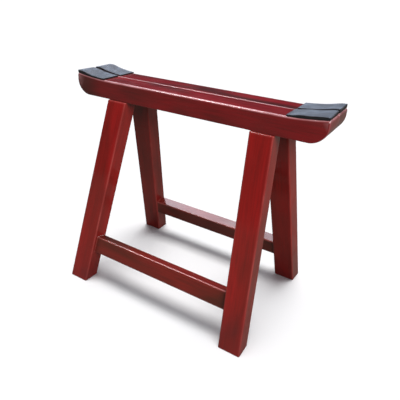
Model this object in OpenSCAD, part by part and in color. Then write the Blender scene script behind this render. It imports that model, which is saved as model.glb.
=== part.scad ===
// Folding trestle stand: two wooden leg frames hinged together under a split top rail.
// Millimetres. The origin is on the floor under the middle of the stand, +X runs along the
// rail, -Y is the front frame's side and +Z is up. The stand is drawn open, on its feet.

/* [Top rail] */
// Length of the rail, end to end
rail_length = 686; // [560:2:900]
// Depth of each half of the rail, across the stand
rail_depth = 64; // [48:1:90]
// Height of the rail between its top and its underside, at the middle
rail_height = 47; // [38:1:60]
// Height of the rail's top above the floor, at the middle
stand_height = 552; // [440:2:700]
// Length of the upward sweep at each end of the rail's top
sweep_length = 113; // [80:1:160]
// How far the top rises over one sweep
sweep_rise = 8.5; // [3:0.5:12]
// Radius of the rounded nose under each end of the rail
nose_radius = 40; // [20:1:46]
// Open joint between the two halves of the rail
rail_gap = 0.8; // [0.4:0.1:2]

/* [Leg frames] */
// Lean of each leg frame from upright
frame_lean = 15.5; // [10:0.5:20]
// Splay of each leg within its frame
leg_splay = 5; // [2:0.5:8]
// Width of a leg, along the rail
leg_width = 58; // [44:1:72]
// Thickness of a leg, through its frame
leg_thickness = 46; // [34:1:54]
// Radius on the long edges of the legs and stretchers
edge_radius = 2.5; // [1:0.5:5]
// Distance from the rail's end to the outside of a leg, under the rail
leg_inset = 110; // [80:1:140]
// How far a leg's outer face stands proud of the rail's outer face
leg_proud = 4.5; // [2:0.5:8]
// Height of a stretcher, up its frame
stretcher_height = 48; // [34:1:64]
// Distance from the legs' outer faces back to the stretcher's outer face
stretcher_setback = 10; // [4:0.5:12]
// Distance from the stretcher's inner face to the legs' inner faces
stretcher_inner_setback = 4; // [2:0.5:8]
// Distance up the frame from the floor to the stretcher's lower edge
stretcher_lift = 94; // [50:2:160]

/* [Tenons] */
// Length of the tenon on top of each leg
leg_tenon_length = 32; // [20:1:34]
// Shoulder left around a leg's tenon on its wide faces
leg_tenon_shoulder = 12; // [8:0.5:14]
// Length of the tenon on each end of a stretcher
stretcher_tenon_length = 30; // [18:1:34]
// Shoulder left around a stretcher's tenon
stretcher_tenon_shoulder = 8; // [5:0.5:8]
// Glue gap around each tenon
glue_gap = 0.15; // [0.1:0.05:0.3]
// Spare depth at the bottom of each mortise
mortise_spare = 2; // [1:0.5:3]

/* [Rubber pads] */
// Length of a pad along the rail
pad_length = 92; // [60:1:120]
// Thickness of a pad at its inner end
pad_thickness = 3.4; // [2.6:0.2:5]
// How much thicker a pad is at the crest near its outer end
pad_swell = 3.4; // [1:0.2:6]
// Length of the lip that falls away from the crest to the pad's outer end
pad_lip_length = 16; // [8:1:24]
// How far the lip falls
pad_lip_drop = 1.4; // [0.4:0.2:2.4]
// Margin of bare wood between a pad and the rail's outer face
pad_outer_margin = 1.2; // [0.5:0.1:4]
// Margin of bare wood between a pad and the rail's inner face
pad_inner_margin = 4.5; // [2:0.5:10]
// Margin of bare wood between a pad and the rail's end
pad_end_margin = 0.8; // [0.5:0.1:4]
// Distance between two neighbouring ribs of a pad
rib_pitch = 3.6; // [3:0.2:6]
// Depth of the grooves between the ribs
rib_depth = 0.8; // [0.4:0.1:1.2]

/* [Hinges] */
// Length of a hinge along the rail
hinge_length = 72; // [60:1:90]
// Width of a hinge leaf, from the pin outwards
leaf_width = 30; // [24:1:38]
// Thickness of a hinge leaf
leaf_thickness = 2; // [1.6:0.2:2.4]
// Distance from a leg to the nearer end of a hinge
hinge_to_leg = 30; // [10:1:36]
// Radius of the hinge knuckles
knuckle_radius = 3.6; // [3.4:0.1:4.5]
// Radius of the hinge pin
pin_radius = 2; // [1.6:0.1:2.2]
// Running clearance around the pin
pin_clearance = 0.05; // [0.02:0.01:0.1]
// Gap between two neighbouring knuckles, and from a knuckle to what turns past it
knuckle_gap = 0.4; // [0.3:0.1:0.8]
// Drop from the rail's underside to the top of the knuckles
knuckle_drop = 0.5; // [0.4:0.1:1]
// Radius of a screw's shank
screw_radius = 1.75; // [1.5:0.05:2]
// Radius of a screw's countersunk head
screw_head_radius = 3.6; // [3.2:0.1:4]
// Length of a screw
screw_length = 18; // [12:1:25]
// Fitting gap around a screw
screw_gap = 0.05; // [0.03:0.01:0.1]

/* [Hidden] */
FRONT = -1;
REAR = 1;
LEFT = -1;
RIGHT = 1;

KNUCKLES = 5;
PAD_STEPS = 40;
SCREWS = [1, 2, 3];

$fn = 64;
fine_arc = 1440;      // steps in a full turn of the rail's very large top arcs
reach = 2000;         // larger than anything in the stand, for trimming

rail_underside = stand_height - rail_height;
sweep_radius = (pow(sweep_length, 2) + pow(sweep_rise, 2)) / (2 * sweep_rise);
sweep_start = rail_length / 2 - sweep_length;
rail_inner_y = rail_gap / 2;
rail_outer_y = rail_inner_y + rail_depth;

leg_face_y = rail_outer_y + leg_proud;
leg_half_across = leg_width / 2 / cos(leg_splay);
leg_top_x = rail_length / 2 - leg_inset - leg_half_across;
slope_length = rail_underside / cos(frame_lean);
leg_tenon_size = [leg_width - 2 * leg_tenon_shoulder, leg_thickness - 2 * leg_tenon_shoulder];

stretcher_thickness = leg_thickness - stretcher_setback - stretcher_inner_setback;
stretcher_low = stretcher_lift - slope_length;
stretcher_high = stretcher_low + stretcher_height;
stretcher_middle = (stretcher_low + stretcher_high) / 2;
stretcher_tenon_size = [
    stretcher_thickness - 2 * stretcher_tenon_shoulder,
    stretcher_height - 2 * stretcher_tenon_shoulder
];

pad_outer_x = rail_length / 2 - pad_end_margin;
pad_inner_x = pad_outer_x - pad_length;

pin_z = rail_underside - knuckle_drop - knuckle_radius;
leaf_edge_y = knuckle_radius + knuckle_gap;
hinge_x = leg_top_x - leg_half_across - hinge_to_leg - hinge_length / 2;
knuckle_length = (hinge_length - (KNUCKLES - 1) * knuckle_gap) / KNUCKLES;
pin_head_radius = knuckle_radius - 0.6;
pin_head_height = 1.2;
screw_spread = hinge_length / 2 - 2.5 * screw_head_radius;
screw_near_y = leaf_edge_y + 2 * screw_head_radius;
screw_far_y = leaf_width - 2 * screw_head_radius;
recess_width = 1;

// Distance from the middle of the frame to the inside of a leg, at height v up the frame
function leg_inside_x(v) = leg_top_x - v * tan(leg_splay) - leg_half_across;

function side_word(side) = side == FRONT ? "front" : "rear";
function end_word(end) = end == LEFT ? "left" : "right";
function screw_name(side, end, n) = str(side_word(side), "_", end_word(end), "_screw_", n);

// Draws its children for the front right quarter of the stand in any of the four quarters
module quarter(side, end) {
    mirror([end == LEFT ? 1 : 0, 0, 0])
        mirror([0, side == REAR ? 1 : 0, 0])
            children();
}

// The front frame's own plane: X along the rail, Y in from the legs' outer faces, Z up the slope
module in_frame() {
    translate([0, -leg_face_y, rail_underside])
        rotate([-frame_lean, 0, 0])
            children();
}

// The axis of the front right leg, with Z up along the leg
module along_leg() {
    in_frame()
        translate([leg_top_x, leg_thickness / 2, 0])
            rotate([0, -leg_splay, 0])
                children();
}

module rounded_rectangle(size, r) {
    square([size[0] - 2 * r, size[1]], center = true);
    square([size[0], size[1] - 2 * r], center = true);
    for (x = [-1, 1], y = [-1, 1])
        translate([x * (size[0] / 2 - r), y * (size[1] / 2 - r)])
            circle(r);
}

// ---- Top rail ------------------------------------------------------------------

// Side view of all that lies between the rail's underside and its top line
module below_top() {
    difference() {
        translate([-rail_length / 2, rail_underside])
            square([rail_length, rail_height + 2 * sweep_rise]);
        translate([-sweep_start, stand_height])
            square([2 * sweep_start, reach]);
        for (end = [LEFT, RIGHT])
            translate([end * sweep_start, stand_height + sweep_radius])
                circle(sweep_radius, $fn = fine_arc);
    }
}

// What the rounded nose leaves out under the right end of the rail
module nose_waste() {
    difference() {
        translate([rail_length / 2 - nose_radius, rail_underside])
            square(nose_radius);
        translate([rail_length / 2 - nose_radius, rail_underside + nose_radius])
            circle(nose_radius, $fn = 4 * $fn);
    }
}

// Carries a side view into the front half of the stand, between two distances from the middle
module extrude_front(near_y, far_y) {
    translate([0, -near_y, 0])
        rotate([90, 0, 0])
            linear_extrude(far_y - near_y)
                children();
}

module rail(side) {
    color([0.42, 0.11, 0.12])
    quarter(side, RIGHT)
    difference() {
        extrude_front(rail_inner_y, rail_outer_y)
            difference() {
                below_top();
                nose_waste();
                mirror([1, 0]) nose_waste();
            }
        for (end = [LEFT, RIGHT])
            quarter(FRONT, end) {
                leg_tenon(glue_gap, mortise_spare);
                for (n = SCREWS) at_screw(n) screw_shank(screw_gap);
            }
    }
}

// ---- Leg frames ----------------------------------------------------------------

module leg_tenon(gap, spare) {
    root = leg_thickness;
    along_leg()
        translate([-leg_tenon_size[0] / 2 - gap, -leg_tenon_size[1] / 2 - gap, -root])
            cube([
                leg_tenon_size[0] + 2 * gap,
                leg_tenon_size[1] + 2 * gap,
                root + leg_tenon_length + spare
            ]);
}

module leg(side, end) {
    color([0.47, 0.12, 0.12])
    quarter(side, end)
    difference() {
        union() {
            intersection() {
                along_leg()
                    translate([0, 0, -1.2 * slope_length])
                        linear_extrude(1.4 * slope_length)
                            rounded_rectangle([leg_width, leg_thickness], edge_radius);
                translate([-reach / 2, -reach / 2, 0])
                    cube([reach, reach, rail_underside]);
            }
            leg_tenon(0, 0);
        }
        stretcher_tenon(glue_gap, mortise_spare);
    }
}

module stretcher_tenon(gap, spare) {
    in_frame()
        translate([
            leg_inside_x(stretcher_middle) - stretcher_thickness,
            stretcher_setback + stretcher_tenon_shoulder - gap,
            stretcher_low + stretcher_tenon_shoulder - gap
        ])
            cube([
                stretcher_thickness + stretcher_tenon_length + spare,
                stretcher_tenon_size[0] + 2 * gap,
                stretcher_tenon_size[1] + 2 * gap
            ]);
}

module stretcher(side) {
    low_x = leg_inside_x(stretcher_low);
    high_x = leg_inside_x(stretcher_high);
    color([0.38, 0.12, 0.12])
    quarter(side, RIGHT) {
        in_frame()
            intersection() {
                translate([0, stretcher_setback + stretcher_thickness, 0])
                    rotate([90, 0, 0])
                        linear_extrude(stretcher_thickness)
                            polygon([
                                [-low_x, stretcher_low],
                                [low_x, stretcher_low],
                                [high_x, stretcher_high],
                                [-high_x, stretcher_high]
                            ]);
                translate([0, stretcher_setback + stretcher_thickness / 2, stretcher_middle])
                    rotate([0, 90, 0])
                        linear_extrude(reach, center = true)
                            rounded_rectangle([stretcher_height, stretcher_thickness], edge_radius);
            }
        for (end = [LEFT, RIGHT])
            quarter(FRONT, end) stretcher_tenon(0, 0);
    }
}

// ---- Rubber pads ---------------------------------------------------------------

// Height of the rail's own top line at distance x from the middle
function rail_top_z(x) = stand_height
    + sweep_radius - sqrt(pow(sweep_radius, 2) - pow(max(x - sweep_start, 0), 2));

// Height of a pad's top: it swells in a smooth step to a crest, and its lip falls away again
function pad_top_z(x) =
    let (
        climb = min(1, (x - pad_inner_x) / (pad_length - pad_lip_length)),
        fall = max(0, (x - pad_outer_x) / pad_lip_length + 1)
    )
    rail_top_z(x) + pad_thickness + pad_swell * climb * climb * (3 - 2 * climb)
        - pad_lip_drop * fall * fall;

// Side view of a pad on the right end of the rail, with its top lowered by drop
module pad_side_view(drop) {
    xs = [for (n = [0:PAD_STEPS]) pad_inner_x + n * pad_length / PAD_STEPS];
    polygon(concat(
        [for (x = xs) [x, pad_top_z(x) - drop]],
        [for (n = [PAD_STEPS:-1:0]) [xs[n], rail_top_z(xs[n])]]
    ));
}

module pad(side, end) {
    ribs = floor(pad_length / rib_pitch);
    margin = (pad_length - (ribs - 0.5) * rib_pitch) / 2;
    color([0.1, 0.1, 0.12])
    quarter(side, end)
    extrude_front(rail_inner_y + pad_inner_margin, rail_outer_y - pad_outer_margin)
        difference() {
            pad_side_view(0);
            difference() {
                for (n = [1:ribs - 1])
                    translate([pad_inner_x + margin + (n - 0.5) * rib_pitch, 0])
                        square([rib_pitch / 2, reach]);
                pad_side_view(rib_depth);
            }
        }
}

// ---- Hinges --------------------------------------------------------------------

// Places its children on the pin's line at the start of one of the hinge's knuckles, along X
module at_knuckle(n) {
    translate([hinge_x - hinge_length / 2 + n * (knuckle_length + knuckle_gap), 0, pin_z])
        rotate([90, 0, 90])
            children();
}

// Knuckle n and the tongue that joins it to the leaf, in the front half of the stand
module knuckle(n) {
    at_knuckle(n) {
        cylinder(r = knuckle_radius, h = knuckle_length);
        translate([-leaf_edge_y - 1, 0, 0])
            cube([leaf_edge_y + 1, knuckle_radius, knuckle_length]);
    }
}

// Leaves only the upper part of a tongue, as thick as the leaf, next to the knuckle
module tongue_waste(n) {
    at_knuckle(n)
        difference() {
            translate([-leaf_edge_y - 2, -knuckle_radius, -1])
                cube([leaf_edge_y + 2, 2 * knuckle_radius - leaf_thickness + knuckle_drop, knuckle_length + 2]);
            translate([0, 0, -2])
                cylinder(r = knuckle_radius, h = knuckle_length + 4);
        }
}

// Position of a screw on the front right leaf, with Z pointing up into the rail
module at_screw(n) {
    screw_y = n == 2 ? screw_near_y : screw_far_y;
    translate([hinge_x + (n - 2) * screw_spread, -screw_y, rail_underside - leaf_thickness])
        children();
}

module screw_head(gap) {
    cylinder(r1 = screw_head_radius + gap, r2 = screw_radius + gap, h = leaf_thickness);
}

module screw_shank(gap) {
    cylinder(r = screw_radius + gap, h = screw_length + gap);
}

// The knuckles of the two leaves alternate; first is the number of the leaf's first knuckle
module leaf(side, end, first) {
    color([0.72, 0.72, 0.74])
    quarter(side, end)
    difference() {
        union() {
            translate([hinge_x - hinge_length / 2, -leaf_width, rail_underside - leaf_thickness])
                cube([hinge_length, leaf_width - leaf_edge_y, leaf_thickness]);
            for (n = [first:2:KNUCKLES - 1])
                difference() {
                    knuckle(n);
                    tongue_waste(n);
                }
        }
        translate([hinge_x, 0, pin_z])
            rotate([0, 90, 0])
                cylinder(r = pin_radius + pin_clearance, h = hinge_length + 2, center = true);
        for (n = SCREWS)
            at_screw(n) {
                screw_head(screw_gap);
                screw_shank(screw_gap);
            }
    }
}

module hinge_pin(end) {
    color([0.6, 0.6, 0.62])
    quarter(FRONT, end)
    translate([hinge_x, 0, pin_z])
        rotate([0, 90, 0]) {
            cylinder(r = pin_radius, h = hinge_length + pin_head_height, center = true);
            for (top = [-1, 1])
                translate([0, 0, top * (hinge_length + pin_head_height) / 2])
                    cylinder(r = pin_head_radius, h = pin_head_height, center = true);
        }
}

module screw(side, end, n) {
    color([0.66, 0.66, 0.68])
    quarter(side, end)
    at_screw(n)
    difference() {
        union() {
            screw_head(0);
            screw_shank(0);
        }
        for (turn = [0, 90])
            rotate([0, 0, turn])
                cube([1.2 * screw_head_radius, recess_width, leaf_thickness], center = true);
    }
}

rail(FRONT);  // front_rail
rail(REAR);  // rear_rail
leg(FRONT, LEFT);  // front_left_leg
leg(FRONT, RIGHT);  // front_right_leg
leg(REAR, LEFT);  // rear_left_leg
leg(REAR, RIGHT);  // rear_right_leg
stretcher(FRONT);  // front_stretcher
stretcher(REAR);  // rear_stretcher
pad(FRONT, LEFT);  // front_left_pad
pad(FRONT, RIGHT);  // front_right_pad
pad(REAR, LEFT);  // rear_left_pad
pad(REAR, RIGHT);  // rear_right_pad
leaf(FRONT, LEFT, 0);  // front_left_leaf
leaf(FRONT, RIGHT, 0);  // front_right_leaf
leaf(REAR, LEFT, 1);  // rear_left_leaf
leaf(REAR, RIGHT, 1);  // rear_right_leaf
hinge_pin(LEFT);  // left_hinge_pin
hinge_pin(RIGHT);  // right_hinge_pin
for (side = [FRONT, REAR], end = [LEFT, RIGHT], n = SCREWS)
    screw(side, end, n);
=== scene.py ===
"""A folding trestle stand in dark red lacquer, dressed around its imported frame.

The stand is two leg frames hinged together under a split top rail. Lengths are in metres in the
frame's own axes: +X along the rail, -Y towards the front frame, +Z up, and the floor is at zero.
"""

import logging
import math
from collections.abc import Sequence
from dataclasses import dataclass, field
from enum import Enum

import bmesh
import bpy
from mathutils import Matrix, Vector


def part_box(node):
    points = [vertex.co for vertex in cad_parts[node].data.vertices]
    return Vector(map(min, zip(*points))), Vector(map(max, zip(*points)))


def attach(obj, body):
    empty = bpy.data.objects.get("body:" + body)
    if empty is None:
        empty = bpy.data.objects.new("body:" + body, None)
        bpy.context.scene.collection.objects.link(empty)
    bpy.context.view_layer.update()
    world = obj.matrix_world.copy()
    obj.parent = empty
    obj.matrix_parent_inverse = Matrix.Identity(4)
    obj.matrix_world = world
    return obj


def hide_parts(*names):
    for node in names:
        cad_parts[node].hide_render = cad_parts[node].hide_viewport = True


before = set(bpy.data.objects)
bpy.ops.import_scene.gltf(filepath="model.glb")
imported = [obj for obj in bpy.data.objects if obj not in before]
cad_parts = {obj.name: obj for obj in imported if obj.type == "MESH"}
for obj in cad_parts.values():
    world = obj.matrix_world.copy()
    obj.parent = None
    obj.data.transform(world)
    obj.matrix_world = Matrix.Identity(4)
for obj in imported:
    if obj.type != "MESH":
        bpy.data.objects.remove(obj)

log = logging.getLogger("trestle")

MM = 0.001
GRAIN = "grain"
# The edge mask: wear on the timbers and a painted highlight on the rail's edges; on the pads, the stud tops
# that carry bloom and a painted sheen.
EDGE = "edge"
# How far a piece's start in the grain pattern shifts it along, across and through the timber.
GRAIN_SHIFT = (1.0, 0.37, 0.61)
# How far large faces outweigh small ones where normals are smoothed, from 1 to 100.
FLAT_WEIGHT = 90

Rgb = tuple[float, float, float]
Ring = list[int]
Source = bpy.types.NodeSocket | float | Rgb


class Side(Enum):
    """The two leg frames, by the way they face along Y."""

    FRONT = -1
    REAR = 1

    @property
    def word(self) -> str:
        """The side's name in piece names."""
        return self.name.lower()

    @property
    def body(self) -> str:
        """The body that this side's pieces ride on."""
        return f"{self.word}_frame"


class End(Enum):
    """The two ends of the stand, by their direction along X."""

    LEFT = -1
    RIGHT = 1

    @property
    def word(self) -> str:
        """The end's name in piece names."""
        return self.name.lower()


class Slot(Enum):
    """The record's material slots for the pieces that are made here."""

    RAIL_LACQUER = "rail_lacquer"
    LEG_LACQUER = "leg_lacquer"
    RUBBER = "ribbed_rubber"


@dataclass(frozen=True)
class GrainStart:
    """Where the pieces of one kind start in the grain pattern, so that no two look alike.

    Args:
        middle: The start that the pieces lie around.
        by_side: How far the front and rear ones lie from it.
        by_end: How far the left and right ones lie from it.
    """

    middle: float
    by_side: float
    by_end: float = 0.0

    def at(self, side: Side, end: End = End.RIGHT) -> float:
        """The start of one piece."""
        return self.middle + self.by_side * side.value + self.by_end * end.value


# ---- Shader helpers -------------------------------------------------------------------------


@dataclass(frozen=True)
class Pattern:
    """One noise: how fine it is, how it is drawn out, and which of its levels show.

    Args:
        scale: Its scale, per metre.
        detail: How many finer layers it has.
        levels: The levels that become 0 and 1, or None where the noise stays as it is.
        distortion: How far it is bent.
        squeeze: How much faster it changes along each axis, or None where it is even.
    """

    scale: float
    detail: float
    levels: tuple[float, float] | None = None
    distortion: float = 0.0
    squeeze: Rgb | None = None


@dataclass
class Tree:
    """A node tree with short ways to add and join its nodes."""

    tree: bpy.types.NodeTree

    def add(self, kind: str, **settings: object) -> bpy.types.Node:
        """Adds a node.

        Args:
            kind: The node's type, without its ShaderNode prefix.
            settings: Properties to set on it.

        Returns:
            The new node.
        """
        node = self.tree.nodes.new(f"ShaderNode{kind}")
        for name, value in settings.items():
            setattr(node, name, value)
        return node

    def join(self, source: Source, target: bpy.types.NodeSocket) -> None:
        """Links a socket to an input, or sets the input where the source is a plain value.

        Args:
            source: An output socket, a number or a tuple.
            target: The input that takes it.
        """
        if isinstance(source, bpy.types.NodeSocket):
            self.tree.links.new(source, target)
        else:
            target.default_value = source

    def maths(self, operation: str, *values: Source, clamp: bool = False) -> bpy.types.NodeSocket:
        """Adds a Math node.

        Args:
            operation: The sum to work out.
            values: Its inputs, as sockets or numbers.
            clamp: Whether the result stays from 0 to 1.

        Returns:
            The result's socket.
        """
        node = self.add("Math", operation=operation, use_clamp=clamp)
        for value, target in zip(values, node.inputs):
            self.join(value, target)
        return node.outputs[0]

    def share(self, value: Source, factor: float) -> bpy.types.NodeSocket:
        """Takes a share of a value."""
        return self.maths("MULTIPLY", value, factor)

    def pattern(
        self, pattern: Pattern, place: bpy.types.NodeSocket, scale: Source | None = None
    ) -> bpy.types.NodeSocket:
        """Adds a noise pattern.

        Args:
            pattern: What it is like.
            place: The socket of the place where it is read.
            scale: The scale to use instead of the pattern's own, or None.

        Returns:
            The socket of its value.
        """
        if pattern.squeeze is not None:
            squeezed = self.add("VectorMath", operation="MULTIPLY")
            self.join(place, squeezed.inputs[0])
            self.join(pattern.squeeze, squeezed.inputs[1])
            place = squeezed.outputs[0]
        node = self.add("TexNoise")
        self.join(place, node.inputs["Vector"])
        self.join(pattern.scale if scale is None else scale, node.inputs["Scale"])
        self.join(pattern.detail, node.inputs["Detail"])
        self.join(pattern.distortion, node.inputs["Distortion"])
        value = node.outputs["Fac"]
        return value if pattern.levels is None else self.stretch(value, *pattern.levels)

    def stretch(self, value: Source, low: float, high: float) -> bpy.types.NodeSocket:
        """Spreads the part of a value between two levels over 0 to 1, with soft ends.

        Args:
            value: The value's socket.
            low: The level that becomes 0.
            high: The level that becomes 1.

        Returns:
            The result's socket.
        """
        node = self.add("MapRange", interpolation_type="SMOOTHSTEP")
        for source, name in ((value, "Value"), (low, "From Min"), (high, "From Max")):
            self.join(source, node.inputs[name])
        return node.outputs["Result"]

    def span(self, value: Source, low: float, high: float) -> bpy.types.NodeSocket:
        """Carries a value from 0 to 1 onto a range.

        Args:
            value: The value's socket.
            low: What 0 becomes.
            high: What 1 becomes.

        Returns:
            The result's socket.
        """
        node = self.add("MapRange")
        for source, name in ((value, "Value"), (low, "To Min"), (high, "To Max")):
            self.join(source, node.inputs[name])
        return node.outputs["Result"]

    def mix(self, share: Source, first: Source, second: Source) -> bpy.types.NodeSocket:
        """Mixes two colours.

        Args:
            share: How much of the second colour there is.
            first: A colour's socket, or the colour.
            second: The other one.

        Returns:
            The mixed colour's socket.
        """
        node = self.add("Mix", data_type="RGBA")
        self.join(share, node.inputs[0])
        for source, target in ((first, node.inputs[6]), (second, node.inputs[7])):
            self.join(source if isinstance(source, bpy.types.NodeSocket) else (*source, 1.0), target)
        return node.outputs[2]

    def attribute(self, name: str) -> bpy.types.Node:
        """Adds a node that reads one of the mesh's own attributes."""
        return self.add("Attribute", attribute_name=name)

    def place(self, group: bpy.types.NodeTree, **values: Source) -> bpy.types.Node:
        """Places a node group.

        Args:
            group: The group.
            values: Its inputs by name, with underscores for spaces.

        Returns:
            The group's node.
        """
        node = self.add("Group", node_tree=group)
        for name, value in values.items():
            self.join(value, node.inputs[name.replace("_", " ")])
        return node


@dataclass
class Effect:
    """A node group under construction, with named inputs and outputs.

    Args:
        name: The group's name.
        inputs: Each input's name and starting value, a number or None for a vector.
        outputs: The names of its outputs, all single values.
    """

    name: str
    inputs: dict[str, float | None]
    outputs: Sequence[str]
    group: bpy.types.NodeTree = field(init=False)
    nodes: Tree = field(init=False)

    def __post_init__(self) -> None:
        """Makes the group's tree and its sockets."""
        self.group = bpy.data.node_groups.new(self.name, "ShaderNodeTree")
        for name, start in self.inputs.items():
            kind = "NodeSocketVector" if start is None else "NodeSocketFloat"
            made = self.group.interface.new_socket(name=name, in_out="INPUT", socket_type=kind)
            if start is not None:
                made.default_value = start
        for name in self.outputs:
            self.group.interface.new_socket(name=name, in_out="OUTPUT", socket_type="NodeSocketFloat")
        self.nodes = Tree(self.group)
        self._given = self.group.nodes.new("NodeGroupInput")
        self._results = self.group.nodes.new("NodeGroupOutput")

    def given(self, name: str) -> bpy.types.NodeSocket:
        """The socket inside the group that carries an input."""
        return self._given.outputs[name]

    def give(self, name: str, value: bpy.types.NodeSocket) -> None:
        """Joins a value to one of the group's outputs."""
        self.nodes.join(value, self._results.inputs[name])


class Effects:
    """The surface effects that several finishes share."""

    STREAKS = Pattern(scale=9.0, detail=5.0, levels=(0.3, 0.7), distortion=0.4, squeeze=(1.4, 34.0, 34.0))
    BANDS = Pattern(scale=5.0, detail=2.0, levels=(0.32, 0.68), distortion=1.6, squeeze=(0.9, 7.0, 7.0))
    PORES = Pattern(scale=3.0, detail=1.0, levels=(0.62, 0.74), squeeze=(22.0, 420.0, 420.0))
    CLOUDS = Pattern(scale=1.3, detail=2.0, levels=(0.34, 0.72), distortion=0.6, squeeze=(3.2, 9.0, 9.0))
    PATCHES = Pattern(scale=1.0, detail=4.0, levels=(0.35, 0.7), squeeze=(22.0, 60.0, 60.0))
    FLECKS = Pattern(scale=420.0, detail=2.0, levels=(0.66, 0.72))
    # The smudges' scale is per smudge, not per metre.
    SMUDGES = Pattern(scale=1.0, detail=4.0, levels=(0.38, 0.72), distortion=0.8)
    SPECKS = Pattern(scale=900.0, detail=1.0, levels=(0.62, 0.76))
    DRIFTS = Pattern(scale=14.0, detail=3.0, levels=(0.3, 0.75))
    FINE_RIPPLE = Pattern(scale=260.0, detail=2.0)
    SLOW_RIPPLE = Pattern(scale=38.0, detail=1.0, squeeze=(0.5, 1.0, 1.0))
    LEAST_RUB = 0.45

    def __init__(self) -> None:
        """Builds each effect once."""
        self.timber = self._timber()
        self.edge_wear = self._edge_wear()
        self.handling = self._handling()
        self.ripple = self._ripple()

    def _timber(self) -> bpy.types.NodeTree:
        """Long grain along the timber: streaks, growth bands, pores and slow clouds of stain.

        Returns:
            The node group.
        """
        made = Effect(
            "Timber grain",
            {"Grain": None, "Streak Scale": self.STREAKS.scale, "Band Scale": self.BANDS.scale},
            ("Streaks", "Bands", "Pores", "Clouds"),
        )
        n, grain = made.nodes, made.given("Grain")
        made.give("Streaks", n.pattern(self.STREAKS, grain, made.given("Streak Scale")))
        made.give("Bands", n.pattern(self.BANDS, grain, made.given("Band Scale")))
        made.give("Pores", n.pattern(self.PORES, grain))
        made.give("Clouds", n.pattern(self.CLOUDS, grain))
        return made.group

    def _edge_wear(self) -> bpy.types.NodeTree:
        """Rubbing along eased edges, broken up so that it comes and goes; on the rail the same mask places a
        painted highlight.

        Returns:
            The node group.
        """
        made = Effect("Edge wear", {"Edge": 0.0, "Place": None, "Amount": 0.5}, ("Rub", "Bare"))
        n, place, edge = made.nodes, made.given("Place"), made.given("Edge")
        patchy = n.pattern(self.PATCHES, place)
        rub = n.maths("MULTIPLY", edge, n.span(patchy, self.LEAST_RUB, 1.0))
        made.give("Rub", n.maths("MULTIPLY", rub, made.given("Amount"), clamp=True))
        nicks = n.maths("MULTIPLY", n.maths("MULTIPLY", n.pattern(self.FLECKS, place), patchy), edge)
        made.give("Bare", n.maths("MULTIPLY", nicks, made.given("Amount"), clamp=True))
        return made.group

    def _handling(self) -> bpy.types.NodeTree:
        """Smudges from hands and cloths, and a fine settled dust.

        Returns:
            The node group.
        """
        made = Effect("Handling", {"Place": None, "Smudge Size": 0.06, "Dust": 0.5}, ("Smudge", "Dust"))
        n, place = made.nodes, made.given("Place")
        smudge_scale = n.maths("DIVIDE", self.SMUDGES.scale, made.given("Smudge Size"))
        made.give("Smudge", n.pattern(self.SMUDGES, place, smudge_scale))
        dust = n.maths("MULTIPLY", n.pattern(self.SPECKS, place), n.pattern(self.DRIFTS, place))
        made.give("Dust", n.maths("MULTIPLY", dust, made.given("Dust"), clamp=True))
        return made.group

    def _ripple(self) -> bpy.types.NodeTree:
        """The faint ripple of a sprayed or moulded skin over the slower unevenness beneath it.

        Returns:
            The node group.
        """
        made = Effect(
            "Surface ripple",
            {"Place": None, "Fine Scale": self.FINE_RIPPLE.scale, "Fine Share": 0.5},
            ("Height",),
        )
        n, place = made.nodes, made.given("Place")
        both = n.add("Mix", data_type="FLOAT")
        n.join(made.given("Fine Share"), both.inputs[0])
        n.join(n.pattern(self.SLOW_RIPPLE, place), both.inputs[2])
        n.join(n.pattern(self.FINE_RIPPLE, place, made.given("Fine Scale")), both.inputs[3])
        made.give("Height", both.outputs[0])
        return made.group


# ---- Finishes -------------------------------------------------------------------------------


def new_material(name: str) -> tuple[bpy.types.Material, Tree, bpy.types.Node]:
    """Starts a material that holds one Principled shader.

    Args:
        name: The material's name.

    Returns:
        The material, its tree and its shader node.
    """
    material = bpy.data.materials.new(name)
    material.use_nodes = True
    tree = Tree(material.node_tree)
    return material, tree, material.node_tree.nodes["Principled BSDF"]


@dataclass(frozen=True)
class Skin:
    """How a finish has been handled, and how even it is to the touch.

    Args:
        smudge_size: How wide a smudge is.
        dustiness: How much dust has settled, from 0 to 1.
        ripple_scale: The scale of the fine ripple, per metre.
        ripple_share: How much of the ripple is fine.
        relief: How far the ripple reaches.
        relief_strength: How much of it shows.
        clean: What the cleanest places add to the roughness.
        dulled: What the dullest places add to it.
    """

    smudge_size: float
    dustiness: float
    ripple_scale: float
    ripple_share: float
    relief: float
    relief_strength: float
    clean: float
    dulled: float = 0.1

    def handle(self, tree: Tree, effects: Effects, place: bpy.types.NodeSocket) -> bpy.types.Node:
        """Places the smudges and the dust in a material."""
        return tree.place(effects.handling, Place=place, Smudge_Size=self.smudge_size, Dust=self.dustiness)

    def ripple(self, tree: Tree, effects: Effects, place: bpy.types.NodeSocket) -> bpy.types.NodeSocket:
        """Places the ripple in a material, and gives its height."""
        scale, share = self.ripple_scale, self.ripple_share
        return tree.place(effects.ripple, Place=place, Fine_Scale=scale, Fine_Share=share).outputs["Height"]

    def roughen(self, tree: Tree, dullness: bpy.types.NodeSocket, middle: float) -> bpy.types.NodeSocket:
        """Spreads a finish's roughness by how dull each place is."""
        return tree.span(dullness, middle + self.clean, middle + self.dulled)

    def bump(self, tree: Tree, shader: bpy.types.Node, height: bpy.types.NodeSocket) -> None:
        """Gives a shader a bumped normal.

        Args:
            tree: The material's tree.
            shader: Its Principled shader.
            height: The socket of the height, from 0 to 1.
        """
        bump = tree.add("Bump")
        bump.inputs["Strength"].default_value = self.relief_strength
        bump.inputs["Distance"].default_value = self.relief
        tree.join(height, bump.inputs["Height"])
        tree.join(bump.outputs["Normal"], shader.inputs["Normal"])


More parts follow.
